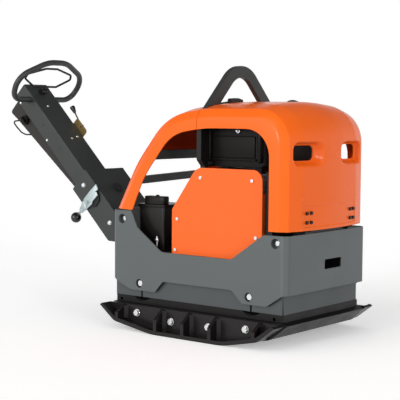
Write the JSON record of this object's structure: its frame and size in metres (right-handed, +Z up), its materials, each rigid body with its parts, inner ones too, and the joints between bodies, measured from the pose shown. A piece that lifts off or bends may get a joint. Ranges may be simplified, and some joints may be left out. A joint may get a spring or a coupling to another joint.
{
  "type": "reversible plate compactor",
  "caption": "Diesel vibratory plate compactor with tilting drawbar, opening hood, lifting hoop and a twin-shaft exciter.",
  "frame": {"origin": "centre of the sole on the ground", "axes": "+X forwards, +Y to the left, +Z up"},
  "size_m": [1.7779, 0.722, 1.1394],
  "materials": {
    "cast": "black painted casting",
    "black_steel": "satin black paint",
    "grey_paint": "dark grey powder coat",
    "orange": "moulded orange",
    "orange_paint": "orange powder coat",
    "zinc": "zinc plated",
    "yellow_zinc": "yellow zinc plated",
    "machined": "machined steel",
    "rubber": "black rubber",
    "alu": "cast aluminium",
    "black_plastic": "black moulded plastic",
    "brown_plastic": "dark brown moulded plastic",
    "battery_grey": "dark battery case",
    "filter_black": "gloss black paint"
  },
  "bodies": {
    "base": {"base_plate": "cast", "extension_plate_right": "black_steel", "extension_plate_left": "black_steel", "belt_plates": "grey_paint", "base_bolts": "zinc", "exciter_housing": "cast", "exciter_covers": "cast", "exciter_bearings": "machined", "rubber_isolators": "rubber", "drive_belt": "rubber"},
    "upper": {"upper_frame": "grey_paint", "engine_deck": "grey_paint", "engine_block": "alu", "fan_housing": "black_plastic", "engine_shroud": "black_plastic", "muffler": "filter_black", "starter_motor": "filter_black", "oil_filter": "filter_black", "air_filter": "black_plastic", "fuel_tank": "black_plastic", "tank_carrier": "black_steel", "belt_guard": "orange_paint", "battery": "battery_grey", "battery_cover": "battery_grey", "battery_tray": "grey_paint", "rear_cover": "orange", "latch_keeper": "rubber", "hood_hinge_brackets": "black_steel", "cover_brackets": "grey_paint", "frame_bolts": "zinc", "rear_crossbar": "grey_paint", "rear_brace": "grey_paint", "lifting_hoop": "grey_paint", "handle_mount": "grey_paint"},
    "drive_shaft": {"drive_shaft": "machined", "drive_gear": "machined", "exciter_pulley": "black_steel"},
    "driven_shaft": {"driven_shaft": "machined", "driven_gear": "machined"},
    "clutch": {"clutch_pulley": "black_steel"},
    "hood": {"front_hood": "orange", "hood_hinge_leaves": "black_steel", "hood_screws": "black_steel", "roof_plug": "rubber", "hood_latch": "rubber"},
    "fuel_cap": {"fuel_cap": "black_plastic"},
    "handle": {"handle_pin": "zinc", "handle_bracket": "grey_paint", "handle_beam": "grey_paint", "handle_rubbers": "rubber", "handle_bolts": "zinc", "under_cover": "brown_plastic", "guard_loop": "grey_paint", "throttle_bracket": "yellow_zinc", "lock_plate": "black_steel", "cable_hook": "zinc"},
    "travel_bail": {"travel_bail": "black_plastic"},
    "throttle": {"throttle_lever": "black_steel"},
    "lock": {"lock_lever": "zinc"},
    "key": {"key_switch": "black_plastic"}
  },
  "joints": [
    {"name": "upper_float", "type": "slide", "parent": "base", "child": "upper", "axis": [0, 0, 1], "range_m": [-0.004, 0.004], "stiffness_N_per_m": 600000, "springref_m": 0.004, "deforming": ["drive_belt"]},
    {"name": "drive_shaft_spin", "type": "hinge", "parent": "base", "child": "drive_shaft", "pos_m": [0.06, 0, 0.116], "axis": [0, 1, 0], "continuous": true},
    {"name": "driven_shaft_spin", "type": "hinge", "parent": "base", "child": "driven_shaft", "pos_m": [0.18, 0, 0.116], "axis": [0, 1, 0], "continuous": true},
    {"name": "clutch_spin", "type": "hinge", "parent": "upper", "child": "clutch", "pos_m": [0.13, 0, 0.4], "axis": [0, 1, 0], "continuous": true},
    {"name": "hood_hinge", "type": "hinge", "parent": "upper", "child": "hood", "pos_m": [0.452, 0, 0.443], "axis": [0, 1, 0], "range_deg": [0, 70]},
    {"name": "fuel_cap_turn", "type": "hinge", "parent": "upper", "child": "fuel_cap", "pos_m": [0.2, 0.09, 0.89], "axis": [0, 0, 1], "continuous": true},
    {"name": "handle_tilt", "type": "hinge", "parent": "upper", "child": "handle", "pos_m": [-0.5, 0, 0.335], "axis": [0, 1, 0], "range_deg": [-20, 45]},
    {"name": "travel_bail_tilt", "type": "hinge", "parent": "handle", "child": "travel_bail", "pos_m": [-1.1569, 0, 0.99473], "axis": [0, 1, 0], "range_deg": [-25, 25]},
    {"name": "throttle_turn", "type": "hinge", "parent": "handle", "child": "throttle", "pos_m": [-0.98225, 0.079, 0.82856], "axis": [0, 1, 0], "range_deg": [0, 50]},
    {"name": "lock_turn", "type": "hinge", "parent": "handle", "child": "lock", "pos_m": [-0.73759, -0.134, 0.49481], "axis": [0, 1, 0], "range_deg": [0, 35]},
    {"name": "key_turn", "type": "hinge", "parent": "handle", "child": "key", "pos_m": [-1.20993, -0.07, 0.85826], "axis": [0, 1, 0], "range_deg": [0, 90]}
  ],
  "couplings": [
    {"joint": "driven_shaft_spin", "follows": "drive_shaft_spin", "ratio": -1},
    {"joint": "clutch_spin", "follows": "drive_shaft_spin", "ratio": 0.75676}
  ]
}
